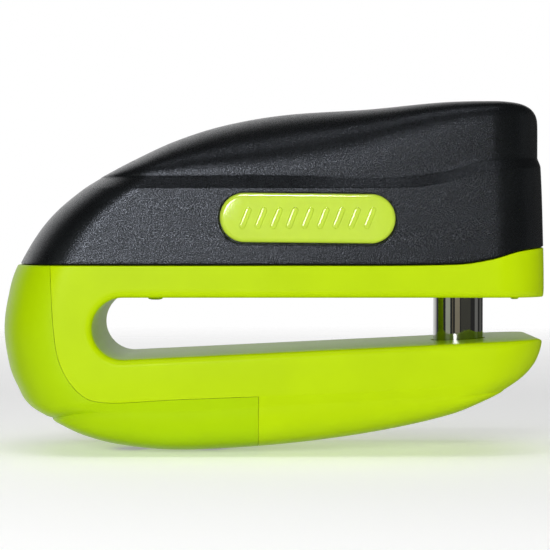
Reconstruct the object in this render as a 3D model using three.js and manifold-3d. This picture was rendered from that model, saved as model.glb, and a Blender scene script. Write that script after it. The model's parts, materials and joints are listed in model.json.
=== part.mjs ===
// A push-to-lock disc brake lock: a steel jaw in plastic casings, and a keyed plunger
// that drives a steel pin across the slot that the brake disc sits in.
// Millimetres, +Z up. Every piece is drawn with the pin's axis at X 0, Y 0 and the slot's
// ceiling at Z 0. The finished lock is then moved so that its origin is the middle of
// the slot's ceiling. +X points out of the slot's mouth.
import * as THREE from "three";
import { mergeVertices } from "three/addons/utils/BufferGeometryUtils.js";
import Module from "manifold-3d";

const wasm = await Module();
wasm.setup();

// ---------- driving dimensions ----------
const HALF_WIDTH = 20; // the casing at its widest
// How much narrower the lock is on each side, at its other levels.
const NARROWER = {
  seam: 0.1, coverMiddle: 0.25, bandBottom: 0.5, bandTop: 1.7, stepTop: 0.1, stepBottom: 0.6,
};
const WALL = 2.2; // the plastic shells
const LINING = 1.5; // the plastic that lines the slot
const SEAM_GAP = 0.2; // between plastic pieces
const FIT = 0.3; // between pieces that touch
const SLIDE = 0.15; // between pieces that slide or press into each other
const FAR = 60; // well outside the lock
const BADGE = {
  x: -30.6, z: 15.4, length: 34, height: 9.6, tilt: -0.6, floor: 18.7, face: 20.3, bevel: 0.5,
};

// The slot: a flat ceiling at Z 0, a round inner end and a floor that rises to the mouth.
const SLOT_END = { x: -66.3, z: -6, radius: 6 };
const FLOOR_SLOPE = 3.8 / 78.8;
const PIN_RADIUS = 5;
const PIN_TIP = -14.4;
const PIN_TOP = 17.0;
const PIN_CHAMFER = 1.2;
const PIN_CLEARANCE = 0.5; // round the pin, where it leaves the casing
const PIN_FROM_SLOT_MIDDLE = 28;
const TRAVEL = 15.2; // the plunger, from locked to open

// The plunger, from the bottom up.
const BARREL_RADIUS = 10;
const BARREL_BOTTOM = 9.4;
const BARREL_TOP = 37.9;
const COVER_CLEARANCE = 0.4; // round the barrel, where it leaves the cover
const BARREL_SKIRT = 7.9; // radius inside the barrel's foot
const BARREL_MOUTH = 8.6; // radius inside the barrel's top, where the cap sits
const BARREL_BORE = 6.4; // radius that the plug turns in
const CROSS_PIN = { z: 15.75, radius: 0.95, halfLength: 9.2 };
const SEAL = { z: 12.6, half: 0.6, depth: 0.9, squeeze: 0.15, groove: 0.2 };
const CAP = { outer: 8.4, inner: 4.6, mark: [3, 6.2], markWidth: 1.2, markDepth: 0.4 };
const SPRING_SEAT = 8.7;
const SPRING_TOP = 14.2;
const WEB_BOTTOM = 14.5;
const LATCH = { z: 18.4, thick: 1.8, width: 8.4, nose: 9.6, heel: 3.0 };
const LATCH_SPRING = { start: 3.15, end: 6.9, radius: 0.62, wire: 0.16 };
const RETURN_SPRING = { radius: 6.5, wire: 0.42 };
const PLUG = { radius: 6.1, bottom: 19.7, top: 36.2, bore: 4.8, roof: 34.2, boss: 4.3, face: 37.8 };
const DISC = {
  radius: 4.6, hole: 3.4, thick: 1.45, spacer: 0.65, guard: 1.0, gap: 0.1, count: 5, first: 21.2,
};
const KEYWAY_RADIUS = 3.1;
const CAM = { bottom: 19.8, top: 21.0, peg: 2.1, pegRadius: 0.9 };
const SIDEBAR = { inner: 4.15, outer: 5.85, halfWidth: 0.6 };
const SIDEBAR_WAY = 0.9; // half the width of the notches that take the sidebar

const HOUSING = {
  radius: 12.8, bottom: 8.5, top: 34.1, right: 12.1, footLeft: -21.5, footHalfWidth: 11, footTop: 15.5,
};
const LATCH_RECESS = { depth: 1.9, side: 0.4, half: 1.4 };
const GUIDE = { z: 31.5, inner: 8.7, radius: 1.25, hole: 1.5 };
const CORE = { halfWidth: 12, top: 8.2, left: -83, right: 13.2, arm: 8.6 };
const BUSH_RADIUS = 6.6;

// Screws: their places, then head and shank sizes. Heads sit in holes a little wider than they are.
const COVER_SCREW = { places: [-52, -28], head: 2.9, headHeight: 1.9, shank: 1.5, length: 17 };
const HOUSING_SCREW = { x: -17, y: 6.5, head: 3.9, headHeight: 2.0, shank: 2.0, length: 12 };
const GUARD_SCREW = { places: [-66, -50], head: 3.2, headHeight: 0.9, shank: 1.5, length: 11.5 };
const HEAD_CLEARANCE = 0.4;
const HEAD_SEAT = 4.2; // height of the seats in the jaw that the upper screws' heads bear on
const GUARD_HEAD_DEPTH = 0.5; // the guard screws' heads, in from the belly
const SCREW_POST = 3.6;

// Moulded bumps under the slot's ceiling, which keep the disc off it.
const NUBS = [{ x: -61, radius: 1.6, drop: 0.95 }, { x: 11.4, radius: 0.9, drop: 0.85 }];

// Numbers of flat sides on round pieces.
const SIDES = { small: 16, medium: 20, large: 32, plunger: 40 };

// ---------- lines on the side of the lock, as height over length ----------
const roofLine = through([
  [-71.8, 23.4], [-65.3, 26.9], [-56.8, 30.9], [-47.1, 34.0], [-35, 36.1],
  [-18, 37.1], [-4, 38.3], [6, 38.45], [10.5, 38.1], [13, 37.4], [15, 36.2],
]);
const bandTop = through([[-73, 23.4], [-36, 23.7], [-17, 23.0], [-3.5, 24.5], [3.3, 26.4], [15, 27.2]]);
const bandBottom = through([[-76, 21.2], [-10, 21.4], [-3.5, 22.4], [3.3, 24.4], [15, 25.3]]);
const seamLine = through([[-90, 6.3], [-36, 6.3], [-2, 6.5], [5, 7.5], [10.3, 9.0], [16, 9.8]]);
const stepTop = through([[-87, -21.4], [-70, -20.3], [-40, -19.1], [-12.8, -17.9], [12, -15.7]]);
const stepBottom = through([
  [-82, -24.5], [-74, -22.4], [-55, -22.0], [-40, -21.1], [-12.8, -19.6], [8.6, -18.4],
]);
const bellyLine = through([
  [-82.4, -24.5], [-79.8, -25.6], [-75, -27.8], [-68, -29.7], [-58, -30.8], [-46, -30.5],
  [-31, -29.2], [-15.7, -26.9], [-2.4, -23.7], [4.9, -20.5], [8.6, -18.4],
]);

// Where the plan outline starts and ends, as length over height.
const noseLine = through([
  [-24.6, -80.2], [-21.5, -85.9], [-17.1, -88.7], [-13.5, -90.1], [-6.3, -91.1],
  [0.8, -90.1], [6.3, -87.9], [12.7, -84.1], [17, -80.4], [21.2, -75.3], [23.4, -71.8],
]);
const tailLine = through([
  [-18.4, 8.6], [-15.8, 12.2], [-14.2, 13.8], [-12.2, 15.1], [-9.3, 16.0],
  [0, 16.4], [9.8, 16.3], [25.3, 15.8], [27.2, 15.3], [36, 15.2],
]);

const COLORS = {
  lime: [0xb9e21e, 0.42, 0],
  limeDark: [0xa8d814, 0.45, 0],
  limeGloss: [0xb6e02a, 0.18, 0],
  black: [0x191b1d, 0.62, 0],
  steel: [0xa9adb2, 0.25, 1],
  darkSteel: [0x55585c, 0.5, 1],
  brass: [0xc2a14d, 0.35, 1],
  zinc: [0x8d9194, 0.45, 1],
  rubber: [0x202020, 0.8, 0],
};
const materials = Object.fromEntries(
  Object.entries(COLORS).map(([name, [color, roughness, metalness]]) => [
    name,
    new THREE.MeshStandardMaterial({ color, roughness, metalness }),
  ]),
);

// ---------- curves ----------
// A smooth function through points, with the slope at each taken from its neighbours.
function through(points) {
  const slope = points.map((p, i) => {
    const a = points[Math.max(0, i - 1)];
    const b = points[Math.min(points.length - 1, i + 1)];
    return (b[1] - a[1]) / (b[0] - a[0]);
  });
  return (x) => {
    let i = 1;
    while (i < points.length - 1 && points[i][0] < x) i++;
    const [a, b] = [points[i - 1], points[i]];
    const run = b[0] - a[0];
    const t = THREE.MathUtils.clamp((x - a[0]) / run, 0, 1);
    const rise = t * t * (3 - 2 * t);
    const lean = t * (1 - t) * (1 - t) * slope[i - 1] - t * t * (1 - t) * slope[i];
    return a[1] + (b[1] - a[1]) * rise + lean * run;
  };
}

function floorHeight(x) {
  return SLOT_END.z - SLOT_END.radius + (x - SLOT_END.x) * FLOOR_SLOPE;
}

// ---------- solids ----------
// A closed solid from a geometry, with its doubled points merged.
function solid(geometry) {
  for (const name of Object.keys(geometry.attributes)) {
    if (name !== "position") geometry.deleteAttribute(name);
  }
  const merged = mergeVertices(geometry, 1e-4);
  const index = merged.index.array;
  const kept = [];
  for (let i = 0; i < index.length; i += 3) {
    const [a, b, c] = index.slice(i, i + 3);
    if (a !== b && b !== c && c !== a) kept.push(a, b, c);
  }
  return new wasm.Manifold(
    new wasm.Mesh({
      numProp: 3,
      vertProperties: merged.attributes.position.array,
      triVerts: new Uint32Array(kept),
    }),
  );
}

function addMesh(group, name, made, material) {
  const { numProp, vertProperties, triVerts } = made.getMesh();
  const geometry = new THREE.BufferGeometry();
  const positions = new Float32Array((vertProperties.length / numProp) * 3);
  for (let i = 0; i < positions.length / 3; i++) {
    positions.set(vertProperties.subarray(i * numProp, i * numProp + 3), i * 3);
  }
  geometry.setAttribute("position", new THREE.BufferAttribute(positions, 3));
  geometry.setIndex(new THREE.BufferAttribute(triVerts, 1));
  const mesh = new THREE.Mesh(geometry, materials[material]);
  mesh.name = name;
  group.add(mesh);
}

function block(x0, x1, y0, y1, z0, z1) {
  const box = new THREE.BoxGeometry(x1 - x0, y1 - y0, z1 - z0);
  return solid(box.translate((x0 + x1) / 2, (y0 + y1) / 2, (z0 + z1) / 2));
}

function rod(radius, z0, z1, x = 0, y = 0, sides = SIDES.large) {
  const cylinder = new THREE.CylinderGeometry(radius, radius, z1 - z0, sides);
  return solid(cylinder.rotateX(Math.PI / 2).translate(x, y, (z0 + z1) / 2));
}

// A turned piece about the Z axis, from its closed outline of [radius, z] points.
function turned(outline, sides = SIDES.large) {
  const loop = [...outline, outline[0]].map(([r, z]) => new THREE.Vector2(r, z));
  return solid(new THREE.LatheGeometry(loop, sides).rotateX(Math.PI / 2));
}

function ring(outer, inner, z0, z1, sides = SIDES.large) {
  return turned([[inner, z0], [outer, z0], [outer, z1], [inner, z1]], sides);
}

// A shape drawn in X and Z, as a slab across Y.
function slab(shape, y0, y1, arcSteps = 8) {
  const options = { depth: y1 - y0, bevelEnabled: false, curveSegments: arcSteps };
  const geometry = new THREE.ExtrudeGeometry(shape, options);
  return solid(geometry.rotateX(Math.PI / 2).translate(0, y1, 0));
}

function polygon(points) {
  return new THREE.Shape(points.map(([x, z]) => new THREE.Vector2(x, z)));
}

function stadium(length, height) {
  const shape = new THREE.Shape();
  const flat = (length - height) / 2;
  shape.absarc(flat, 0, height / 2, -Math.PI / 2, Math.PI / 2, false);
  shape.absarc(-flat, 0, height / 2, Math.PI / 2, (3 * Math.PI) / 2, false);
  return shape;
}

// ---------- the outer form ----------
// Half of the plan outline, from the nose round one side to the tail: each column is
// the share of each stretch it lies at.
const OUTSIDE = { nose: 6, side: 10, corner: 5, face: 2, dome: 7 };
const INSIDE = { nose: 4, side: 6, corner: 3, face: 1, dome: 4 };
const NOSE_LENGTH = 13;
const NOSE_POWER = 2.3;
const TAIL_RADIUS = 10;
const TAIL_BULGE = 0.4;
const NOSE_STEP = 0.4; // the casing stands this much proud of the cover at the nose
const BELLY_POWER = 2.6;
const ROOF_POWER = { nose: 2.3, barrel: 6.9, from: -42 };

function outlinePoints(nose, tail, halfWidth, inset) {
  const steps = inset > 0 ? INSIDE : OUTSIDE;
  const radius = TAIL_RADIUS - inset;
  const flat = halfWidth - radius;
  const straightStart = nose + NOSE_LENGTH;
  const cornerX = tail - TAIL_BULGE - radius;
  const points = [];
  for (let i = 0; i < steps.nose; i++) {
    const angle = (i / steps.nose) * (Math.PI / 2);
    const x = nose + NOSE_LENGTH * (1 - Math.cos(angle) ** (2 / NOSE_POWER));
    points.push([x, halfWidth * Math.sin(angle) ** (2 / NOSE_POWER)]);
  }
  for (let i = 0; i < steps.side; i++) {
    points.push([THREE.MathUtils.lerp(straightStart, cornerX, i / steps.side), halfWidth]);
  }
  for (let i = 0; i < steps.corner; i++) {
    const angle = (i / steps.corner) * (Math.PI / 2);
    points.push([cornerX + radius * Math.sin(angle), flat + radius * Math.cos(angle)]);
  }
  for (let i = 0; i <= steps.face; i++) {
    const y = flat * (1 - i / steps.face);
    points.push([tail - TAIL_BULGE * (y / flat) ** 2, y]);
  }
  return points;
}

// One level of a shell wall: the outline at the height that the line gives.
function wallRow(line, halfWidth, inset, noseLead = 0) {
  const nose = noseLine(line(-80)) + inset - noseLead;
  const tail = tailLine(line(12)) - inset;
  return outlinePoints(nose, tail, halfWidth - inset, inset).map(([x, y]) => [x, y, line(x)]);
}

// How square the roof is: a dome over the nose, a flat-topped block over the barrel.
function roofPower(x) {
  const { nose, barrel, from } = ROOF_POWER;
  return THREE.MathUtils.lerp(nose, barrel, Math.max(0, 1 - x / from) ** 2);
}

// Levels that close a wall's edge row up to a crest line, as a dome. Points behind the
// pivot draw in towards the middle plane, and points past it draw in towards the pivot.
function domeRows(edge, crest, power, steps, pivot = FAR) {
  const rows = [];
  for (let k = 1; k <= steps; k++) {
    const angle = (k / steps) * (Math.PI / 2);
    const spread = k === steps ? 0 : Math.cos(angle);
    rows.push(edge.map(([x, y, z]) => {
      const share = 2 / power(x);
      const drawnX = x > pivot ? pivot + (x - pivot) * spread ** share : x;
      return [drawnX, y * spread ** share, z + (crest(x) - z) * Math.sin(angle) ** share];
    }));
  }
  return rows;
}

// A closed skin through rows of half outlines that are mirrored to both sides.
function skin(rows) {
  const columns = rows[0].length;
  const around = 2 * (columns - 1);
  const positions = [];
  const index = [];
  for (const row of rows) {
    for (let i = 0; i < around; i++) {
      const [x, y, z] = row[i < columns ? i : around - i];
      positions.push(x, i < columns ? -y : y, z);
    }
  }
  const quad = (a, b, c, d) => index.push(a, b, c, a, c, d);
  for (let k = 0; k < rows.length - 1; k++) {
    for (let i = 0; i < around; i++) {
      const next = (i + 1) % around;
      quad(k * around + i, k * around + next, (k + 1) * around + next, (k + 1) * around + i);
    }
  }
  const cap = (start, facesUp) => {
    for (let i = 0; i < columns - 1; i++) {
      const [a, b] = [start + i, start + i + 1];
      const [c, d] = [start + ((around - i - 1) % around), start + ((around - i) % around)];
      if (facesUp) quad(a, b, c, d);
      else quad(d, c, b, a);
    }
  };
  cap(0, false);
  cap((rows.length - 1) * around, true);
  const geometry = new THREE.BufferGeometry();
  geometry.setAttribute("position", new THREE.Float32BufferAttribute(positions, 3));
  geometry.setIndex(index);
  return solid(geometry);
}

function shifted(line, by) {
  return (x) => line(x) + by;
}

function between(lineA, lineB, share) {
  return (x) => THREE.MathUtils.lerp(lineA(x), lineB(x), share);
}

// The black upper half, from its seam up.
function upperForm(inset, lift) {
  const bottom = shifted(seamLine, lift);
  const roofEdge = wallRow(bandTop, HALF_WIDTH - NARROWER.bandTop, inset);
  const pivot = tailLine(bandTop(12)) - TAIL_RADIUS - TAIL_BULGE;
  const steps = inset > 0 ? INSIDE.dome : OUTSIDE.dome;
  return skin([
    wallRow(bottom, HALF_WIDTH - NARROWER.seam, inset),
    wallRow(between(bottom, bandBottom, 0.5), HALF_WIDTH - NARROWER.coverMiddle, inset),
    wallRow(bandBottom, HALF_WIDTH - NARROWER.bandBottom, inset),
    roofEdge,
    ...domeRows(roofEdge, shifted(roofLine, -inset), roofPower, steps, pivot),
  ]);
}

// The green lower half, from its belly up to the seam.
function lowerForm(inset, lift) {
  const top = shifted(seamLine, lift);
  const bellyEdge = wallRow(stepBottom, HALF_WIDTH - NARROWER.stepBottom, inset);
  const steps = inset > 0 ? INSIDE.dome : OUTSIDE.dome - 1;
  const belly = domeRows(bellyEdge, shifted(bellyLine, inset), () => BELLY_POWER, steps).reverse();
  return skin([
    ...belly,
    bellyEdge,
    wallRow(stepTop, HALF_WIDTH - NARROWER.stepTop, inset),
    ...[0.2, 0.4, 0.6, 0.8].map((share) => wallRow(between(stepTop, top, share), HALF_WIDTH, inset)),
    wallRow(top, HALF_WIDTH, inset, NOSE_STEP),
  ]);
}

// The hollows run past the seam, so that both shells open onto each other.
const upperHollow = upperForm(WALL, -12);
const lowerHollow = lowerForm(WALL, 5);

// ---------- casings ----------
// The slot's outline in X and Z, grown outwards by the given amount.
function slotShape(grow) {
  const { x, z, radius } = SLOT_END;
  const shape = new THREE.Shape();
  shape.moveTo(FAR, floorHeight(FAR) - grow);
  shape.lineTo(FAR, grow);
  shape.lineTo(x, grow);
  shape.absarc(x, z, radius + grow, Math.PI / 2, (3 * Math.PI) / 2, false);
  shape.closePath();
  return shape;
}

// The heel guard's edge: down behind the slot's end, round under it and along, to a
// corner where it turns and drops out through the belly.
const GUARD_EDGE = [
  [-80.4, 6.2], [-79.7, -6], [-78.4, -13], [-74.8, -18.4], [-69.5, -20.3], [-56, -19.7], [-40.1, -19.1],
];
const GUARD_STEPS = 16;
const GUARD_DROP_LEAN = 0.7;

// Everything behind and below the heel guard's edge, grown outwards by the given amount.
function guardRegion(grow) {
  const edge = new THREE.SplineCurve(GUARD_EDGE.map(([x, z]) => new THREE.Vector2(x, z)));
  const points = edge.getPoints(GUARD_STEPS).map((p, i) => {
    const tangent = edge.getTangent(i / GUARD_STEPS);
    return [p.x - tangent.y * grow, p.y + tangent.x * grow];
  });
  const [cornerX, cornerZ] = GUARD_EDGE.at(-1).map((value) => value + grow);
  const outline = [
    [GUARD_EDGE[0][0] + grow, FAR], ...points.slice(0, -1), [cornerX, cornerZ],
    [cornerX - GUARD_DROP_LEAN, -FAR], [-FAR * 2, -FAR], [-FAR * 2, FAR],
  ];
  return slab(polygon(outline.reverse()), -FAR, FAR);
}

function buildCasings(group) {
  const lower = lowerForm(0, -SEAM_GAP / 2);
  const shell = lower.subtract(lowerHollow);
  const lining = slab(slotShape(LINING), -FAR, FAR).intersect(lower);
  let casing = shell.add(lining).subtract(slab(slotShape(0), -FAR, FAR));
  casing = casing.subtract(guardRegion(SEAM_GAP));
  casing = casing.subtract(rod(PIN_RADIUS + PIN_CLEARANCE, -16, 5));
  for (const nub of NUBS) {
    casing = casing.add(rod(nub.radius, -nub.drop, LINING / 2, nub.x, 0, SIDES.small));
  }
  addMesh(group, "body_casing", casing, "lime");

  let guard = shell.intersect(guardRegion(0));
  for (const x of GUARD_SCREW.places) {
    const headTop = bellyLine(x) + GUARD_HEAD_DEPTH + GUARD_SCREW.headHeight;
    guard = guard.add(rod(SCREW_POST, headTop, guardPostTop(x), x, 0, SIDES.medium));
    guard = guard.subtract(screwHole(GUARD_SCREW, -FAR, 0, x));
    guard = guard.subtract(headHole(GUARD_SCREW, -FAR, headTop + SLIDE, x));
  }
  addMesh(group, "heel_guard", guard, "limeDark");
}

function buildCover(group) {
  const outer = upperForm(0, SEAM_GAP / 2);
  let cover = outer.subtract(upperHollow);
  for (const x of COVER_SCREW.places) {
    const post = rod(SCREW_POST, CORE.top + FIT, FAR, x, 0, SIDES.medium).intersect(outer);
    const screwTop = HEAD_SEAT + COVER_SCREW.length;
    cover = cover.add(post).subtract(screwHole(COVER_SCREW, 0, screwTop, x));
  }
  cover = cover.subtract(rod(BARREL_RADIUS + COVER_CLEARANCE, HOUSING.footTop, FAR, 0, 0, SIDES.plunger));
  for (const side of [-1, 1]) {
    cover = cover.subtract(badgePlate(side, SEAM_GAP, BADGE.floor - SEAM_GAP, HALF_WIDTH + WALL, 0));
  }
  addMesh(group, "top_cover", cover, "black");
  const { floor, face, bevel } = BADGE;
  addMesh(group, "badge_front", badgePlate(-1, 0, floor, face, bevel), "limeGloss");
  addMesh(group, "badge_rear", badgePlate(1, 0, floor, face, bevel), "limeGloss");
}

// The oval name plate, from one distance off the middle plane to another.
function badgePlate(side, grow, inner, outer, bevel) {
  const shape = stadium(BADGE.length + 2 * (grow - bevel), BADGE.height + 2 * (grow - bevel));
  const plain = new THREE.ExtrudeGeometry(shape, {
    depth: outer - inner - bevel,
    bevelEnabled: bevel > 0,
    bevelThickness: bevel,
    bevelSize: bevel,
    bevelSegments: 3,
    curveSegments: 10,
  });
  plain.rotateZ(THREE.MathUtils.degToRad(BADGE.tilt));
  plain.rotateX(Math.PI / 2).translate(BADGE.x, 0, BADGE.z);
  const made = solid(plain.translate(0, -inner, 0));
  const flush = made.intersect(block(-FAR, 0, -outer, -inner, 0, FAR));
  return side < 0 ? flush : flush.rotate([0, 0, 180]).translate([2 * BADGE.x, 0, 0]);
}

// ---------- screws and their holes ----------
function screwHole(screw, z0, z1, x, y = 0) {
  return rod(screw.shank + FIT, z0, z1, x, y, SIDES.small);
}

function headHole(screw, z0, z1, x, y = 0) {
  return rod(screw.head + HEAD_CLEARANCE, z0, z1, x, y, SIDES.medium);
}

// A screw along Z: its head at the start, with a hexagonal socket, and its shank above.
function addScrew(group, name, screw, x, y, z) {
  const headTop = z + screw.headHeight;
  const made = rod(screw.head, z, headTop, x, y, SIDES.medium)
    .add(rod(screw.shank, headTop - 0.2, z + screw.length, x, y, SIDES.small))
    .subtract(rod(screw.head * 0.42, z - 1, z + screw.headHeight / 2, x, y, 6));
  addMesh(group, name, made, "steel");
}

function buildScrews(group) {
  const jawHeads = LINING + 2 * FIT;
  COVER_SCREW.places.forEach((x, i) => {
    addScrew(group, `cover_screw_${i + 1}`, COVER_SCREW, x, 0, jawHeads);
  });
  [-1, 1].forEach((side, i) => {
    const y = side * HOUSING_SCREW.y;
    addScrew(group, `housing_screw_${i + 1}`, HOUSING_SCREW, HOUSING_SCREW.x, y, jawHeads);
  });
  GUARD_SCREW.places.forEach((x, i) => {
    addScrew(group, `guard_screw_${i + 1}`, GUARD_SCREW, x, 0, bellyLine(x) + GUARD_HEAD_DEPTH);
  });
}

// ---------- steel jaw ----------
// The underside of the lower arm.
function coreBottom(x) {
  return floorHeight(x) - LINING - FIT - CORE.arm;
}

function guardPostTop(x) {
  return coreBottom(x) - FIT;
}

function buildCore(group) {
  const { left, right, top, halfWidth } = CORE;
  const outline = polygon([
    [left + 6, top], [right, top], [right, -8.2], [11.9, -12.2], [2, coreBottom(2) + 0.8],
    [-20, coreBottom(-20)], [-72, coreBottom(-72)], [left + 5, -20], [left, -13], [left, 2],
  ].reverse());
  let core = slab(outline, -halfWidth, halfWidth);
  core = core.subtract(slab(slotShape(LINING + FIT), -FAR, FAR));
  core = core.subtract(rod(BUSH_RADIUS + SLIDE, 0, FAR));
  core = core.subtract(rod(PIN_RADIUS + FIT, PIN_TIP - 0.7, SLOT_END.z));
  for (const side of [-1, 1]) {
    const y = side * HOUSING_SCREW.y;
    core = core.subtract(cornerCut(side));
    core = core.subtract(screwHole(HOUSING_SCREW, 0, FAR, HOUSING_SCREW.x, y));
    core = core.subtract(headHole(HOUSING_SCREW, 0, HEAD_SEAT, HOUSING_SCREW.x, y));
  }
  for (const x of COVER_SCREW.places) {
    core = core.subtract(screwHole(COVER_SCREW, 0, FAR, x));
    core = core.subtract(headHole(COVER_SCREW, 0, HEAD_SEAT, x));
  }
  for (const x of GUARD_SCREW.places) {
    core = core.subtract(screwHole(GUARD_SCREW, -FAR, guardPostTop(x) + 5, x));
  }
  addMesh(group, "jaw_core", core, "darkSteel");
  const bush = ring(BUSH_RADIUS, PIN_RADIUS + FIT, LINING + FIT, CORE.top);
  addMesh(group, "pin_bush", bush, "brass");
}

// Takes the corner off the mouth end of the jaw, in plan.
function cornerCut(side) {
  const wedge = new THREE.BoxGeometry(10, 10, 2 * FAR).rotateZ(Math.PI / 4);
  return solid(wedge.translate(CORE.right + 3.6, side * (CORE.halfWidth + 0.2), 0));
}

// ---------- lock housing ----------
function buildHousing(group) {
  const { radius, bottom, top, right, footLeft, footHalfWidth, footTop } = HOUSING;
  const { half } = LATCH_RECESS;
  let housing = rod(radius, bottom, top, 0, 0, SIDES.plunger);
  housing = housing.add(block(footLeft, 0, -footHalfWidth, footHalfWidth, bottom, footTop));
  housing = housing.subtract(block(right, FAR, -FAR, FAR, 0, FAR));
  housing = housing.subtract(rod(BARREL_RADIUS + FIT, 0, FAR, 0, 0, SIDES.plunger));
  housing = housing.subtract(latchRecess(LATCH.z - half, LATCH.z + half));
  housing = housing.subtract(latchRecess(LATCH.z + TRAVEL - half, FAR));
  for (const side of [-1, 1]) {
    const y = side * HOUSING_SCREW.y;
    housing = housing.subtract(screwHole(HOUSING_SCREW, 0, footTop - 0.5, HOUSING_SCREW.x, y));
  }
  housing = housing.subtract(guideRod(GUIDE.hole, FAR));
  addMesh(group, "lock_housing", housing, "zinc");
  addMesh(group, "guide_pin", guideRod(GUIDE.radius, radius - 0.2), "steel");
}

// A recess that the latch's nose springs into.
function latchRecess(z0, z1) {
  const half = LATCH.width / 2 + LATCH_RECESS.side;
  return block(-BARREL_RADIUS - LATCH_RECESS.depth, -BARREL_RADIUS / 2, -half, half, z0, z1);
}

// A rod along Y on the far side of the barrel, that keeps it from turning or leaving.
function guideRod(radius, outer) {
  const cylinder = new THREE.CylinderGeometry(radius, radius, outer - GUIDE.inner, SIDES.small);
  return solid(cylinder.translate(0, (outer + GUIDE.inner) / 2, GUIDE.z));
}

// ---------- plunger ----------
function buildPlunger(group) {
  const pin = turned([
    [0, PIN_TIP], [PIN_RADIUS - PIN_CHAMFER, PIN_TIP], [PIN_RADIUS, PIN_TIP + PIN_CHAMFER],
    [PIN_RADIUS, PIN_TOP], [0, PIN_TOP],
  ], SIDES.plunger);
  const crossHole = crossRod(CROSS_PIN.radius + SLIDE, FAR);
  addMesh(group, "locking_pin", pin.subtract(crossHole), "steel");
  addMesh(group, "cross_pin", crossRod(CROSS_PIN.radius, CROSS_PIN.halfLength), "darkSteel");

  const grooveBottom = SEAL.z - SEAL.half - SEAL.groove;
  const grooveTop = SEAL.z + SEAL.half + SEAL.groove;
  const grooveRadius = BARREL_RADIUS - SEAL.depth - SEAL.groove;
  const boreBottom = PLUG.bottom - FIT;
  const boreTop = PLUG.top + 0.2;
  let barrel = turned([
    [0, WEB_BOTTOM], [BARREL_SKIRT, WEB_BOTTOM], [BARREL_SKIRT, BARREL_BOTTOM],
    [BARREL_RADIUS, BARREL_BOTTOM], [BARREL_RADIUS, grooveBottom], [grooveRadius, grooveBottom],
    [grooveRadius, grooveTop], [BARREL_RADIUS, grooveTop], [BARREL_RADIUS, BARREL_TOP],
    [BARREL_MOUTH, BARREL_TOP], [BARREL_MOUTH, boreTop], [BARREL_BORE, boreTop],
    [BARREL_BORE, boreBottom], [0, boreBottom],
  ], SIDES.plunger);
  barrel = barrel.subtract(rod(PIN_RADIUS + SLIDE, 0, PIN_TOP + SLIDE)).subtract(crossHole);
  barrel = barrel.subtract(latchPocket());
  barrel = barrel.subtract(guideGroove());
  barrel = barrel.subtract(sidebarWay(BARREL_BORE - 1, BARREL_BORE + 1.2, DISC.first, PLUG.roof));
  addMesh(group, "barrel", barrel, "zinc");

  const half = CAP.markWidth / 2;
  const mark = block(...CAP.mark, -half, half, BARREL_TOP + 0.1 - CAP.markDepth, FAR);
  const cap = ring(CAP.outer, CAP.inner, PLUG.top + FIT, BARREL_TOP + 0.1, SIDES.plunger);
  addMesh(group, "barrel_cap", cap.subtract(mark), "black");
  const [sealOuter, sealInner] = [BARREL_RADIUS + SEAL.squeeze, BARREL_RADIUS - SEAL.depth];
  const seal = ring(sealOuter, sealInner, SEAL.z - SEAL.half, SEAL.z + SEAL.half, SIDES.plunger);
  addMesh(group, "barrel_seal", seal, "rubber");
}

// A rod along X through the pin and the barrel.
function crossRod(radius, halfLength) {
  const cylinder = new THREE.CylinderGeometry(radius, radius, 2 * halfLength, SIDES.small);
  return solid(cylinder.rotateZ(Math.PI / 2).translate(0, 0, CROSS_PIN.z));
}

// The way the latch slides in, and the blind hole for its spring behind it.
function latchPocket() {
  const half = LATCH.width / 2 + SLIDE;
  const low = LATCH.z - LATCH.thick / 2 - SLIDE;
  const high = LATCH.z + LATCH.thick / 2 + SLIDE;
  const springHalf = LATCH_SPRING.radius + LATCH_SPRING.wire + SLIDE;
  const springEnd = LATCH_SPRING.end + 0.2;
  return block(-FAR, LATCH.heel + 0.2, -half, half, low, high)
    .add(block(0, springEnd, -springHalf, springHalf, low + SLIDE, high - SLIDE));
}

// A groove in the barrel that rides on the guide pin, as long as the travel.
function guideGroove() {
  const half = GUIDE.hole;
  return block(-half, half, GUIDE.inner - FIT, FAR, GUIDE.z - TRAVEL - half, GUIDE.z + half);
}

// A straight way along the plug's side for the sidebar.
function sidebarWay(x0, x1, z0, z1) {
  return block(x0, x1, -SIDEBAR_WAY, SIDEBAR_WAY, z0, z1);
}

// ---------- keyed plug ----------
// The key's way: a half-round slot.
function keyway(z0, z1, radius = KEYWAY_RADIUS) {
  const shape = new THREE.Shape();
  shape.absarc(0, 0, radius, 0, Math.PI, false);
  shape.lineTo(-radius, -0.5);
  shape.lineTo(radius, -0.5);
  const geometry = new THREE.ExtrudeGeometry(shape, {
    depth: z1 - z0, bevelEnabled: false, curveSegments: 10,
  });
  return solid(geometry.translate(0, 0, z0));
}

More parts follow.
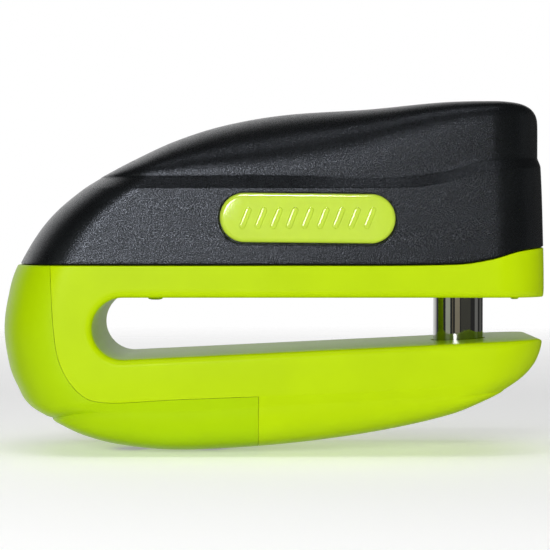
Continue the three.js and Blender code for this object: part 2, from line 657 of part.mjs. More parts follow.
function buildPlug(group) {
  const { radius, bottom, top, bore, roof, boss, face } = PLUG;
  let plug = turned([
    [0, roof], [bore, roof], [bore, bottom], [radius, bottom], [radius, top],
    [boss, top], [boss, face], [0, face],
  ], SIDES.plunger);
  plug = plug.subtract(keyway(roof - 1, FAR));
  plug = plug.subtract(sidebarWay(4, 7, DISC.first, roof - 1));
  addMesh(group, "plug", plug, "brass");

  const pegBottom = LATCH.z - LATCH.thick / 2;
  const peg = rod(CAM.pegRadius, pegBottom, CAM.bottom + FIT, 0, CAM.peg, SIDES.small);
  addMesh(group, "tail_cam", rod(DISC.radius, CAM.bottom, CAM.top).add(peg), "steel");

  let z = DISC.first;
  for (let i = 1; i <= DISC.count; i++) {
    addMesh(group, `detainer_disc_${i}`, detainerDisc(z, i), "brass");
    z += DISC.thick + DISC.gap;
    if (i < DISC.count) {
      const spacer = ring(DISC.radius, DISC.hole, z, z + DISC.spacer);
      addMesh(group, `disc_spacer_${i}`, spacer.subtract(sidebarNotch()), "steel");
      z += DISC.spacer + DISC.gap;
    }
  }
  const guard = rod(DISC.radius, z, z + DISC.guard).subtract(keyway(z - 1, FAR)).subtract(sidebarNotch());
  addMesh(group, "anti_drill_disc", guard, "darkSteel");
  const { inner, outer, halfWidth } = SIDEBAR;
  const bar = block(inner, outer, -halfWidth, halfWidth, DISC.first + 0.2, roof - 1.4);
  addMesh(group, "sidebar", bar, "steel");
}

function sidebarNotch() {
  return sidebarWay(SIDEBAR.inner - 0.25, FAR, 0, FAR);
}

// Each disc has its own second notch, so that only the right key lines them all up.
function detainerDisc(z, number) {
  const disc = rod(DISC.radius, z, z + DISC.thick);
  const angle = THREE.MathUtils.degToRad(100 + 30 * number);
  const other = new THREE.BoxGeometry(1.4, 1.2, 10).rotateZ(angle);
  const [x, y] = [DISC.radius * Math.cos(angle), DISC.radius * Math.sin(angle)];
  const falseNotch = solid(other.translate(x, y, z));
  const hole = keyway(z - 1, z + 3, KEYWAY_RADIUS + 0.1);
  return disc.subtract(hole).subtract(sidebarNotch()).subtract(falseNotch);
}

// ---------- latch and springs ----------
function buildLatch(group) {
  const { z, thick, width, nose, heel } = LATCH;
  const plate = block(-nose - 1, heel, -width / 2, width / 2, z - thick / 2, z + thick / 2);
  // The cam's peg turns in this window and draws the latch back by its edge.
  const window = block(-1.75, 1.15, -1.15, CAM.peg + 1.15, z - 3, z + 3);
  const round = rod(nose, z - 3, z + 3, 0, 0, SIDES.plunger);
  addMesh(group, "latch_slug", plate.intersect(round).subtract(window), "steel");
  const { start, end, radius, wire } = LATCH_SPRING;
  const along = coil(radius, wire, end - start, 5, 8, 2);
  const spring = solid(along.rotateY(Math.PI / 2).translate(start, 0, z));
  addMesh(group, "latch_spring", spring, "steel");
}

// A coil spring that starts at Z 0 and winds up the Z axis.
function coil(radius, wire, height, turns, stepsPerTurn, sides) {
  class Helix extends THREE.Curve {
    getPoint(t, target = new THREE.Vector3()) {
      const angle = 2 * Math.PI * turns * t;
      const z = wire + (height - 2 * wire) * t;
      return target.set(radius * Math.cos(angle), radius * Math.sin(angle), z);
    }
  }
  const section = new THREE.Shape();
  section.absarc(0, 0, wire, 0, 2 * Math.PI, false);
  return new THREE.ExtrudeGeometry(section, {
    steps: turns * stepsPerTurn, curveSegments: sides, bevelEnabled: false, extrudePath: new Helix(),
  });
}

function buildReturnSpring(group) {
  const height = SPRING_TOP - SPRING_SEAT;
  const wound = coil(RETURN_SPRING.radius, RETURN_SPRING.wire, height, 5, 14, 3);
  const spring = solid(wound.translate(0, 0, SPRING_SEAT));
  addMesh(group, "return_spring", spring, "steel");
}

function buildLock() {
  const lock = new THREE.Group();
  lock.position.x = PIN_FROM_SLOT_MIDDLE;
  buildCasings(lock);
  buildCover(lock);
  buildCore(lock);
  buildScrews(lock);
  buildHousing(lock);
  buildPlunger(lock);
  buildPlug(lock);
  buildLatch(lock);
  buildReturnSpring(lock);
  return lock;
}

export default buildLock();
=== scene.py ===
"""A push-to-lock disc brake lock on a pale studio floor.

Shapes are drawn in millimetres with the locking pin's axis at x 0 and the slot's ceiling at z 0,
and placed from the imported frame. x runs out of the slot's mouth, y across the lock and z up.
"""

import json
import math

import bmesh
import bpy
import numpy as np
from mathutils import Matrix, Vector


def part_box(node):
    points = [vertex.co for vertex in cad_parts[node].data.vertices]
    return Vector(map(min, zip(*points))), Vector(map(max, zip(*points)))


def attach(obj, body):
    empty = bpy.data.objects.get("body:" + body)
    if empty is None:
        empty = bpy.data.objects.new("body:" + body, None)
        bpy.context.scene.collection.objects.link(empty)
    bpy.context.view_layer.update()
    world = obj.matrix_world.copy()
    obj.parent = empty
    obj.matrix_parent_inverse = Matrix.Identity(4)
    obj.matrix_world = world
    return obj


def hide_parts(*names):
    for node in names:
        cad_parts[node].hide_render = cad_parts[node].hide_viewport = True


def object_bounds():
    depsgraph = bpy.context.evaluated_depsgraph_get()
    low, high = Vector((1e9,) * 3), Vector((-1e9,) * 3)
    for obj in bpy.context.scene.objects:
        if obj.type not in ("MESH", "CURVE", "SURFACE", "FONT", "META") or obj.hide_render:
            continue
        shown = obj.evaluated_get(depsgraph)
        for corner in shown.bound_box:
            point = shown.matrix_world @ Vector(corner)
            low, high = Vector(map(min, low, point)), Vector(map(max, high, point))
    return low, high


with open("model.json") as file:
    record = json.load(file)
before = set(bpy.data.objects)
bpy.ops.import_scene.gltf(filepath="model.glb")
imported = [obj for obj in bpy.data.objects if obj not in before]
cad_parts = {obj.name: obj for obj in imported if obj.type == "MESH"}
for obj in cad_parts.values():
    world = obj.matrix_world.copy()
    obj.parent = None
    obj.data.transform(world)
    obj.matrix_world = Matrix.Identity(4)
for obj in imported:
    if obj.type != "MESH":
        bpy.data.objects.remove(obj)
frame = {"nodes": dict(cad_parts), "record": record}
CAD_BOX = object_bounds()
SLOTS = {part["node"]: part["material_slot"] for part in frame["record"]["subparts"]}

MM = 0.001
PIN_LOW, PIN_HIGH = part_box("locking_pin")
PIN_X = (PIN_LOW.x + PIN_HIGH.x) / 2
PIN_RADIUS = (PIN_HIGH.x - PIN_LOW.x) / 2 / MM
HALF_WIDTH = (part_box("body_casing")[1].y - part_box("body_casing")[0].y) / 2 / MM
FAR = 60.0  # well outside the lock
WALL = 2.2  # thickness of the plastic shells
SEAM_GAP = 0.16  # between the black cover and the lime casing

# ---------- lines on the side of the lock, as height over length ----------


def through(points):
    """A smooth function through points, with the slope at each taken from its neighbours."""
    xs, zs = (np.array(column, float) for column in zip(*points))
    low = np.maximum(np.arange(len(xs)) - 1, 0)
    high = np.minimum(np.arange(len(xs)) + 1, len(xs) - 1)
    slope = (zs[high] - zs[low]) / (xs[high] - xs[low])

    def value(x):
        x = np.asarray(x, float)
        i = np.clip(np.searchsorted(xs, x), 1, len(xs) - 1)
        run = xs[i] - xs[i - 1]
        t = np.clip((x - xs[i - 1]) / run, 0, 1)
        rise = t * t * (3 - 2 * t)
        lean = t * (1 - t) ** 2 * slope[i - 1] - t * t * (1 - t) * slope[i]
        return zs[i - 1] + (zs[i] - zs[i - 1]) * rise + lean * run

    return value


roof_line = through([
    (-71.8, 23.4), (-65.3, 26.9), (-56.8, 30.9), (-47.1, 34.0), (-35, 36.1),
    (-18, 37.1), (-4, 38.27), (6, 38.4), (10.5, 38.07), (13, 37.4), (15, 36.2),
])
band_top = through([(-73, 23.4), (-36, 23.7), (-17, 23.0), (-3.5, 24.5), (3.3, 26.4), (15, 27.2)])
band_bottom = through([(-76, 21.2), (-10, 21.4), (-3.5, 22.4), (3.3, 24.4), (15, 25.3)])
seam_line = through([(-90, 6.3), (-36, 6.3), (-2, 6.5), (5, 7.5), (10.3, 9.0), (16, 9.8)])
step_top = through([(-87, -21.4), (-70, -20.3), (-40, -19.1), (-12.8, -17.9), (12, -15.7)])
step_bottom = through([
    (-82, -24.5), (-74, -22.4), (-55, -22.0), (-40, -21.1), (-12.8, -19.6), (8.6, -18.4),
])
belly_line = through([
    (-82.4, -24.5), (-79.8, -25.6), (-75, -27.8), (-68, -29.7), (-58, -30.8), (-46, -30.5),
    (-31, -29.2), (-15.7, -26.9), (-2.4, -23.7), (4.9, -20.5), (8.6, -18.4),
])
nose_line = through([
    (-24.6, -80.2), (-21.5, -85.9), (-17.1, -88.7), (-13.5, -90.1), (-6.3, -91.1),
    (0.8, -90.1), (6.3, -87.9), (12.7, -84.1), (17, -80.4), (21.2, -75.3), (23.4, -71.8),
])
tail_line = through([
    (-18.4, 8.6), (-15.8, 12.2), (-14.2, 13.8), (-12.2, 15.1), (-9.3, 16.0),
    (0, 16.4), (9.8, 16.3), (25.3, 15.8), (27.2, 15.3), (36, 15.2),
])

SLOT_END = {"x": -66.3, "z": -6.0, "radius": 6.0}
FLOOR_SLOPE = 3.8 / 78.8


def floor_height(x):
    return SLOT_END["z"] - SLOT_END["radius"] + (x - SLOT_END["x"]) * FLOOR_SLOPE


def shifted(line, by):
    return lambda x: line(x) + by


def between(line_a, line_b, share):
    return lambda x: line_a(x) * (1 - share) + line_b(x) * share


def lerp(a, b, share):
    return a + (b - a) * share


def smoothstep(x, low, high):
    t = np.clip((x - low) / (high - low), 0, 1)
    return t * t * (3 - 2 * t)


# ---------- mesh building ----------


def enclosed(verts, faces):
    """Six times the volume inside a closed skin, negative when its faces look inwards."""
    total = 0.0
    for face in faces:
        corner = verts[face[0]]
        for i in range(1, len(face) - 1):
            total += float(np.dot(corner, np.cross(verts[face[i]], verts[face[i + 1]])))
    return total


def piece_from(name, verts, faces):
    """A mesh object from millimetre vertices, put where the pin's axis is in the frame."""
    verts = np.asarray(verts, float)
    faces = [list(dict.fromkeys(map(int, face))) for face in faces]
    if enclosed(verts - verts.mean(0), faces) < 0:
        faces = [face[::-1] for face in faces]
    mesh = bpy.data.meshes.new(name)
    mesh.from_pydata((verts * MM + np.array([PIN_X, 0, 0])).tolist(), [], faces)
    obj = bpy.data.objects.new(name, mesh)
    bpy.context.scene.collection.objects.link(obj)
    return obj


def combine(base, tool, operation="DIFFERENCE"):
    """Cuts or joins base with tool, applies it and throws the tool away."""
    modifier = base.modifiers.new("combine", "BOOLEAN")
    modifier.operation = operation
    modifier.solver = "MANIFOLD"
    modifier.object = tool
    depsgraph = bpy.context.evaluated_depsgraph_get()
    made = bpy.data.meshes.new_from_object(base.evaluated_get(depsgraph))
    base.modifiers.clear()
    old = base.data
    base.data = made
    bpy.data.meshes.remove(old)
    discard(tool)
    return base


def discard(obj):
    mesh = obj.data
    bpy.data.objects.remove(obj)
    bpy.data.meshes.remove(mesh)


def copy_of(obj, name):
    other = bpy.data.objects.new(name, obj.data.copy())
    bpy.context.scene.collection.objects.link(other)
    return other


def smooth(obj, degrees):
    obj.data.shade_smooth()
    obj.data.set_sharp_from_angle(angle=math.radians(degrees))


def stack(loops, cap_start=True, cap_end=True):
    """Vertices and faces of a closed skin through equal closed loops."""
    loops = [np.asarray(loop, float) for loop in loops]
    count = len(loops[0])
    verts = np.concatenate(loops)
    faces = []
    for k in range(len(loops) - 1):
        for i in range(count):
            j = (i + 1) % count
            faces.append((k * count + i, k * count + j, (k + 1) * count + j, (k + 1) * count + i))
    if cap_start:
        faces.append(tuple(range(count - 1, -1, -1)))
    if cap_end:
        last = (len(loops) - 1) * count
        faces.append(tuple(last + i for i in range(count)))
    return verts, faces


def lathe(name, profile, segments=96):
    """A turned piece about the pin's axis, from a closed outline of (radius, z) points."""
    verts = []
    faces = []
    count = len(profile)
    rings = []
    for radius, z in profile:
        if radius < 1e-6:
            rings.append([len(verts)])
            verts.append((0, 0, z))
            continue
        rings.append(list(range(len(verts), len(verts) + segments)))
        for i in range(segments):
            angle = 2 * math.pi * i / segments
            verts.append((radius * math.cos(angle), radius * math.sin(angle), z))
    for k in range(count):
        a, b = rings[k], rings[(k + 1) % count]
        if len(a) == 1 and len(b) == 1:
            continue
        for i in range(segments):
            j = (i + 1) % segments
            if len(a) == 1:
                faces.append((a[0], b[j], b[i]))
            elif len(b) == 1:
                faces.append((a[i], a[j], b[0]))
            else:
                faces.append((a[i], a[j], b[j], b[i]))
    return piece_from(name, verts, faces)


def rounded(profile, radius, steps=4):
    """The outline with its corners cut to small arcs, except those on the axis."""
    out = []
    count = len(profile)
    points = [np.array(p, float) for p in profile]
    for i, corner in enumerate(points):
        before, after = points[i - 1], points[(i + 1) % count]
        into, away = corner - before, after - corner
        reach = min(radius, np.linalg.norm(into) * 0.45, np.linalg.norm(away) * 0.45)
        if corner[0] < 1e-6 or reach < 1e-4:
            out.append(tuple(corner))
            continue
        start = corner - into / np.linalg.norm(into) * reach
        end = corner + away / np.linalg.norm(away) * reach
        for k in range(steps + 1):
            t = k / steps
            point = (1 - t) ** 2 * start + 2 * t * (1 - t) * corner + t * t * end
            out.append(tuple(point))
    return out


def box_tool(x0, x1, y0, y1, z0, z1):
    corners = [(x, y, z) for z in (z0, z1) for x, y in ((x0, y0), (x1, y0), (x1, y1), (x0, y1))]
    return piece_from("tool", *stack([corners[:4], corners[4:]]))


def ring(radius, z, x=0.0, segments=64):
    """A level circle about an upright axis on the middle plane."""
    turns = [2 * math.pi * i / segments for i in range(segments)]
    return [(x + radius * math.cos(turn), radius * math.sin(turn), z) for turn in turns]


def rod_tool(radius, z0, z1, x=0.0, segments=64):
    return piece_from("tool", *stack([ring(radius, z, x, segments) for z in (z0, z1)]))


def slab(points):
    """An outline in x and z, drawn right across the lock."""
    x, z = points[:, 0], points[:, 1]
    loops = [np.column_stack([x, np.full(len(points), y), z]) for y in (-FAR, FAR)]
    return piece_from("tool", *stack(loops))


# ---------- the outer form ----------

NOSE_LENGTH = 13.0
NOSE_POWER = 2.3
NOSE_STEP = 0.4  # the casing stands this much proud of the cover at the nose
TAIL_RADIUS = 10.0
TAIL_BULGE = 0.4
NOSE_AT, TAIL_AT = -80.0, 12.0  # lengths at which a level's height is read to place its ends
COVER_WIDTH = HALF_WIDTH - 0.1  # half the black cover's width at its seam
LIP_WIDTH = HALF_WIDTH - 0.5  # half the width just under the chamfered band
ROOF_WIDTH = HALF_WIDTH - 1.7  # half the width above the chamfered band
BELLY_WIDTH = HALF_WIDTH - 0.6  # half the width below the casing's lower step
BELLY_POWER = 2.6
ROOF_POWER = {"nose": 2.3, "rise": 4.6, "reach": 42}
HOLLOW_OVERLAP = {"cover": 12, "casing": 5}  # how far each hollow runs past the open seam
FINE = {"nose": 34, "side": 96, "corner": 26, "face": 10, "dome": 44}
PLAIN = {"nose": 6, "side": 12, "corner": 5, "face": 2, "dome": 6}


def outline(nose, tail, half_width, inset, steps):
    """Half of a plan outline, from the nose round one side to the tail, as x and y."""
    radius = TAIL_RADIUS - inset
    flat = half_width - radius
    corner_x = tail - TAIL_BULGE - radius
    angle = np.linspace(0, math.pi / 2, steps["nose"], endpoint=False)
    nose_x = nose + NOSE_LENGTH * (1 - np.cos(angle) ** (2 / NOSE_POWER))
    nose_y = half_width * np.sin(angle) ** (2 / NOSE_POWER)
    side_x = np.linspace(nose + NOSE_LENGTH, corner_x, steps["side"], endpoint=False)
    angle = np.linspace(0, math.pi / 2, steps["corner"], endpoint=False)
    face_y = flat * np.linspace(1, 0, steps["face"] + 1)
    corner = corner_x + radius * np.sin(angle), flat + radius * np.cos(angle)
    side_y = np.full(steps["side"], half_width)
    x = np.concatenate([nose_x, side_x, corner[0], tail - TAIL_BULGE * (face_y / flat) ** 2])
    y = np.concatenate([nose_y, side_y, corner[1], face_y])
    return x, y


def wall_row(line, half_width, inset=0.0, steps=FINE, nose_lead=0.0):
    """One level of a shell wall: the outline at the height that the line gives."""
    nose = float(nose_line(line(NOSE_AT))) + inset - nose_lead
    tail = float(tail_line(line(TAIL_AT))) - inset
    x, y = outline(nose, tail, half_width - inset, inset, steps)
    return np.column_stack([x, y, line(x)])


def roof_power(x):
    """How square the roof is: a dome over the nose, a flat-topped block over the barrel."""
    squarer = max(0.0, 1 + x / ROOF_POWER["reach"])
    return ROOF_POWER["nose"] + ROOF_POWER["rise"] * squarer**2


def superellipse(power, steps):
    """Points from (1, 0) to (0, 1), spread half by length and half by turning."""
    quarter = math.pi / 2
    from_start = np.geomspace(1e-9, 1, 500)
    to_end = quarter - np.geomspace(0.57, 1e-9, 500)
    angle = np.concatenate([[0], from_start, to_end, [quarter]])
    across = np.clip(np.cos(angle), 0, 1) ** (2 / power)
    across[-1] = 0
    along = np.clip(np.sin(angle), 0, 1) ** (2 / power)
    da, db = np.diff(across), np.diff(along)
    length = np.concatenate([[0], np.cumsum(np.hypot(da, db))])
    heading = np.unwrap(np.arctan2(db, da))
    turn = np.concatenate([[0], np.cumsum(np.abs(np.diff(heading))), [0]])
    turn[-1] = turn[-2]
    measure = length / length[-1] + turn / turn[-1]
    at = np.linspace(0, measure[-1], steps + 1)[1:]
    return np.interp(at, measure, across), np.interp(at, measure, along)


def dome_rows(edge, crest, power, steps, pivot=FAR):
    """Levels that close a wall's edge row up to a crest line.

    Points behind the pivot draw in towards the middle plane, and points past it towards the pivot.
    """
    shapes = {}
    across = np.empty((steps, len(edge)))
    along = np.empty((steps, len(edge)))
    for i, x in enumerate(edge[:, 0]):
        key = round(float(power(x)), 2)
        if key not in shapes:
            shapes[key] = superellipse(key, steps)
        across[:, i], along[:, i] = shapes[key]
    rows = []
    for k in range(steps):
        width = across[k] if k < steps - 1 else np.zeros(len(edge))
        x = np.where(edge[:, 0] > pivot, pivot + (edge[:, 0] - pivot) * width, edge[:, 0])
        z = edge[:, 2] + (crest(x) - edge[:, 2]) * along[k]
        rows.append(np.column_stack([x, edge[:, 1] * width, z]))
    return rows


def skin(name, rows):
    """A closed skin through rows of half outlines, mirrored to both sides."""
    columns = len(rows[0])
    loops = []
    for row in rows:
        near = row * np.array([1, -1, 1])
        far = row[-2:0:-1]
        loops.append(np.concatenate([near, far]))
    verts, faces = stack(loops, False, False)
    around = 2 * (columns - 1)
    last = (len(rows) - 1) * around
    for i in range(columns - 1):
        a, b, c, d = i, i + 1, (around - i - 1) % around, (around - i) % around
        faces.append((d, c, b, a))
        faces.append((last + a, last + b, last + c, last + d))
    obj = piece_from(name, verts, faces)
    weld(obj)
    return obj


def weld(obj, distance=2e-3):
    """Merges vertices that coincide, and drops the faces that collapse."""
    mesh = bmesh.new()
    mesh.from_mesh(obj.data)
    bmesh.ops.remove_doubles(mesh, verts=mesh.verts, dist=distance * MM)
    bmesh.ops.dissolve_degenerate(mesh, edges=mesh.edges, dist=1e-7)
    mesh.to_mesh(obj.data)
    mesh.free()


# Each step of a small rounded edge: how far past the edge line, and how far inwards.
EDGE = [(0.0, 0.30), (0.025, 0.16), (0.09, 0.06), (0.18, 0.015), (0.30, 0.0)]


def roof_pivot():
    """Where the roof's tail corners start to turn."""
    return float(tail_line(band_top(TAIL_AT))) - TAIL_RADIUS - TAIL_BULGE


def upper_form():
    """The outside of the black cover, from its seam up."""
    bottom = shifted(seam_line, SEAM_GAP / 2)
    rows = [wall_row(shifted(bottom, up), COVER_WIDTH, inward) for up, inward in EDGE]
    for share in np.linspace(0.06, 0.95, 22):
        width = lerp(COVER_WIDTH, LIP_WIDTH, share)
        rows.append(wall_row(between(bottom, band_bottom, share), width))
    rows.append(wall_row(shifted(band_bottom, -0.22), LIP_WIDTH + 0.01))
    rows.append(wall_row(shifted(band_bottom, -0.07), LIP_WIDTH))
    for share in (0.03, 0.12, 0.3, 0.5, 0.7, 0.88, 0.97):
        width = lerp(LIP_WIDTH, ROOF_WIDTH, share)
        rows.append(wall_row(between(band_bottom, band_top, share), width))
    edge = wall_row(shifted(band_top, 0.05), ROOF_WIDTH)
    rows.append(edge)
    rows += dome_rows(edge, roof_line, roof_power, FINE["dome"], roof_pivot())
    return skin("top_cover_visual", rows)


def lower_form():
    """The outside of the lime casing and heel guard, from the belly up to the seam."""
    top = shifted(seam_line, -SEAM_GAP / 2)
    step_width = HALF_WIDTH - 0.1
    edge = wall_row(step_bottom, BELLY_WIDTH)
    rows = dome_rows(edge, belly_line, lambda x: BELLY_POWER, FINE["dome"] - 12)[::-1]
    rows.append(edge)
    for share in (0.06, 0.2, 0.4, 0.6, 0.8, 0.94):
        width = lerp(BELLY_WIDTH, step_width, share)
        rows.append(wall_row(between(step_bottom, step_top, share), width))
    for share in np.linspace(0.0, 0.985, 40):
        width = lerp(step_width, HALF_WIDTH, min(1, share / 0.15))
        lead = NOSE_STEP * smoothstep(share, 0.75, 1.0)
        rows.append(wall_row(between(step_top, top, share), width, 0, FINE, lead))
    for up, inward in reversed(EDGE):
        rows.append(wall_row(shifted(top, -up), HALF_WIDTH, inward, FINE, NOSE_STEP))
    return skin("lower_visual", rows)


def upper_hollow():
    """The room inside the black cover, open past its seam."""
    roof = wall_row(band_top, ROOF_WIDTH, WALL, PLAIN)
    rows = [
        wall_row(shifted(seam_line, -HOLLOW_OVERLAP["cover"]), COVER_WIDTH, WALL, PLAIN),
        wall_row(band_bottom, LIP_WIDTH, WALL, PLAIN),
        roof,
    ]
    crest = shifted(roof_line, -WALL)
    rows += dome_rows(roof, crest, roof_power, PLAIN["dome"], roof_pivot())
    return skin("tool", rows)


def lower_hollow():
    """The room inside the lime casing and heel guard, open past their seam."""
    edge = wall_row(step_bottom, BELLY_WIDTH, WALL, PLAIN)
    crest = shifted(belly_line, WALL)
    rows = dome_rows(edge, crest, lambda x: BELLY_POWER, PLAIN["dome"])[::-1]
    rows.append(edge)
    for share in np.linspace(0, 1, 6):
        line = between(step_top, shifted(seam_line, HOLLOW_OVERLAP["casing"]), share)
        rows.append(wall_row(line, HALF_WIDTH, WALL, PLAIN))
    return skin("tool", rows)


# ---------- the slot ----------

SLOT_FILLET = 1.3
MOUTH_FILLET_TOP = 1.0
MOUTH_FILLET_FLOOR = 1.8
MOUTH_FLOOR = -9.3  # about the floor's height at the mouth
LINING = 1.5  # thickness of the casing's lining inside the slot


def slot_profile(grow=0.0):
    """The slot's outline in x and z as a loop, grown along its outward normals.

    The corners at the mouth flare, which rounds the jaw's tips.
    """
    end_x, end_z, radius = SLOT_END["x"], SLOT_END["z"], SLOT_END["radius"]
    points = []

    def add(x, z, nx, nz):
        points.append((x, z, nx, nz))

    tail_top = float(tail_line(0.0))
    tail_low = float(tail_line(MOUTH_FLOOR))
    r = MOUTH_FILLET_TOP
    add(FAR, r, 0, 1)
    for angle in np.linspace(0, math.pi / 2, 9):
        add(tail_top - r + r * math.cos(angle), r - r * math.sin(angle), 0, 1)
    for x in np.linspace(tail_top - r, end_x, 90)[1:-1]:
        add(x, 0, 0, 1)
    tilt = math.atan(FLOOR_SLOPE)
    for angle in np.linspace(math.pi / 2, 3 * math.pi / 2 + tilt, 49):
        nx, nz = math.cos(angle), math.sin(angle)
        add(end_x + radius * nx, end_z + radius * nz, nx, nz)
    r = MOUTH_FILLET_FLOOR
    start_x = end_x + radius * math.sin(tilt)
    for x in np.linspace(start_x, tail_low - r, 90)[1:]:
        add(x, floor_height(x), math.sin(tilt), -math.cos(tilt))
    low = floor_height(tail_low - r)
    for angle in np.linspace(0, math.pi / 2, 11)[1:]:
        add(tail_low - r + r * math.sin(angle), low - r + r * math.cos(angle), 0, -1)
    add(FAR, low - r, 0, -1)
    loop = np.array(points)
    loop[:, 0] += loop[:, 2] * grow
    loop[:, 1] += loop[:, 3] * grow
    return loop


def side_reach(x):
    """How far the casing's side stands off the middle plane at this length."""
    corner_x = float(tail_line(0.0)) - TAIL_BULGE - TAIL_RADIUS
    along = np.clip((x - corner_x) / TAIL_RADIUS, 0, 1)
    return HALF_WIDTH - TAIL_RADIUS + TAIL_RADIUS * np.sqrt(1 - along**2)


def slot_tool():
    """Cuts the slot, and rounds its edges where they meet the lock's sides."""
    loop = slot_profile()
    reach = side_reach(loop[:, 0])
    r = SLOT_FILLET
    near = []
    for angle in np.linspace(0, math.pi / 2, 9):
        depth = reach - r + r * math.sin(angle)
        flare = r * (1 - math.cos(angle))
        near.append((depth, flare))
    near.append((np.full_like(reach, HALF_WIDTH + 4), r))
    levels = [(-depth, flare) for depth, flare in reversed(near)] + near
    loops = []
    for y, flare in levels:
        x = loop[:, 0] + loop[:, 2] * flare
        z = loop[:, 1] + loop[:, 3] * flare
        loops.append(np.column_stack([x, y, z]))
    return piece_from("tool", *stack(loops))


def slot_lining():
    """A bar that fills the slot and its lining, right across the lock."""
    loop = slot_profile(LINING)
    return slab(loop[:, :2])


# ---------- casings ----------

GUARD_SEAM = 0.07
GUARD_CORNER = (-40.1, -19.1)  # where the guard's edge turns down to the belly
GUARD_EDGE = [
    (-80.4, 6.2), (-79.7, -6), (-78.4, -13), (-74.8, -18.4), (-69.5, -20.3), (-56, -19.7),
    GUARD_CORNER,
]
GUARD_DROP_LEAN = 0.7  # how far the edge below the corner leans back on its way down
NUBS = [(-61, 1.6, 0.95), (11.4, 0.9, 0.85)]  # length, radius and drop of each bump on the ceiling
PIN_HOLE = {"clearance": 0.5, "low": -16, "high": 5}
CASING_LIME = (0.425, 0.60, 0.0)
GUARD_LIME = (0.37, 0.56, 0.0)
GUARD_SCREW = {"head": 3.2, "shank": 1.5, "deep": 0.9, "socket": 1.4, "well": 3.6, "sunk": 1.6}


def catmull(points, steps):
    """A smooth curve through points, as (x, z) samples."""
    pts = [np.array(p, float) for p in points]
    pts = [2 * pts[0] - pts[1]] + pts + [2 * pts[-1] - pts[-2]]
    out = []
    for i in range(1, len(pts) - 2):
        p0, p1, p2, p3 = pts[i - 1:i + 3]
        for k in range(steps):
            t = k / steps
            out.append(0.5 * (2 * p1 + (p2 - p0) * t + (2 * p0 - 5 * p1 + 4 * p2 - p3) * t**2
                              + (3 * p1 - p0 - 3 * p2 + p3) * t**3))
    out.append(pts[-2])
    return np.array(out)


def guard_region(grow):
    """Everything behind and below the heel guard's edge, as a slab."""
    edge = catmull(GUARD_EDGE, 14)
    tangent = np.gradient(edge, axis=0)
    tangent /= np.linalg.norm(tangent, axis=1)[:, None]
    edge = edge + np.column_stack([-tangent[:, 1], tangent[:, 0]]) * grow
    corner = np.array(GUARD_CORNER) + grow
    points = np.vstack([
        [GUARD_EDGE[0][0] + grow, FAR], edge[:-1], corner, corner + [-GUARD_DROP_LEAN, -FAR],
        [-2 * FAR, -FAR], [-2 * FAR, FAR],
    ])
    return slab(points)


def build_casings():
    """The lime casing and the heel guard, cut from one shell along the guard's edge."""
    lower = lower_form()
    shell = copy_of(lower, "heel_guard_visual")
    combine(shell, lower_hollow())
    body = copy_of(shell, "body_casing_visual")
    lining = combine(slot_lining(), lower, "INTERSECT")
    combine(body, lining, "UNION")
    combine(body, slot_tool())
    combine(body, guard_region(GUARD_SEAM))
    hole_radius = PIN_RADIUS + PIN_HOLE["clearance"]
    combine(body, rod_tool(hole_radius, PIN_HOLE["low"], PIN_HOLE["high"]))
    for x, radius, drop in NUBS:
        combine(body, nub_tool(x, radius, drop), "UNION")
    combine(shell, guard_region(0), "INTERSECT")
    for x in guard_screw_places():
        seat = float(belly_line(x)) + GUARD_SCREW["sunk"]
        combine(shell, rod_tool(GUARD_SCREW["well"], -FAR, seat, x))
    finish_piece(body, "body_casing", "casing", lime_plastic("lime_casing", CASING_LIME), 30)
    finish_piece(shell, "heel_guard", "casing", lime_plastic("lime_guard", GUARD_LIME), 30)


def nub_tool(x, radius, drop, segments=40):
    """A small moulded bump with a rounded foot, rooted a little above the ceiling."""
    levels = [(-drop, 0.55), (-drop * 0.85, 0.85), (-drop * 0.6, 0.97), (0.6, 1.0)]
    loops = [ring(radius * share, z, x, segments) for z, share in levels]
    return piece_from("tool", *stack(loops))


def guard_screw_places():
    """The lengths at which the two guard screws stand."""
    places = []
    for number in (1, 2):
        low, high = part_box(f"guard_screw_{number}")
        places.append(((low.x + high.x) / 2 - PIN_X) / MM)
    return places


def build_cover():
    """The black cover, with its opening over the barrel and a pocket for each badge."""
    cover = upper_form()
    combine(cover, upper_hollow())
    combine(cover, barrel_hole())
    for side in (-1, 1):
        combine(cover, badge_pocket(side))
    finish_piece(cover, "top_cover", "casing", black_plastic(), 30)


def barrel_hole():
    """The opening over the barrel, with a small rounded lead-in."""
    radius = 10.4
    lead_in = [(0, 36.9), (0.12, 37.5), (0.5, 38.0), (1.4, 38.4)]
    profile = [(0, 20), (radius, 20)] + [(radius + out, z) for out, z in lead_in]
    profile += [(radius + lead_in[-1][0], 45), (0, 45)]
    return lathe("tool", profile, 128)


# ---------- badges ----------

BADGE_LOW, BADGE_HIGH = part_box("badge_front")
BADGE_X = ((BADGE_LOW.x + BADGE_HIGH.x) / 2 - PIN_X) / MM
BADGE_Z = (BADGE_LOW.z + BADGE_HIGH.z) / 2 / MM
BADGE_LENGTH = 34.0
BADGE_HEIGHT = 9.6
BADGE_TILT = math.radians(-0.6)
BADGE_BACK = 18.7  # distances off the middle plane
BADGE_SHOULDER = 19.1  # where the rim starts to round over
BADGE_RIM = 0.95  # width of the rounded rim
BADGE_CROWN = (19.93, 0.16)  # the face's height at its edge, and its rise in the middle
# The pocket's inset from the badge's outline at each distance off the middle plane.
POCKET = [(-0.2, 18.5), (-0.2, 19.45), (-0.26, 19.6), (-0.42, 19.75), (-1.1, 20.1), (-1.1, 24)]
BARS = 9
BAR = {"pitch": 3.0, "length": 4.4, "width": 1.2, "slant": math.radians(68)}
# A bar's inset at each distance off the middle plane: it rounds over at the top.
BAR_LEVELS = [(0.0, 19.6), (0.0, 20.1), (0.06, 20.18), (0.17, 20.23), (0.35, 20.25)]


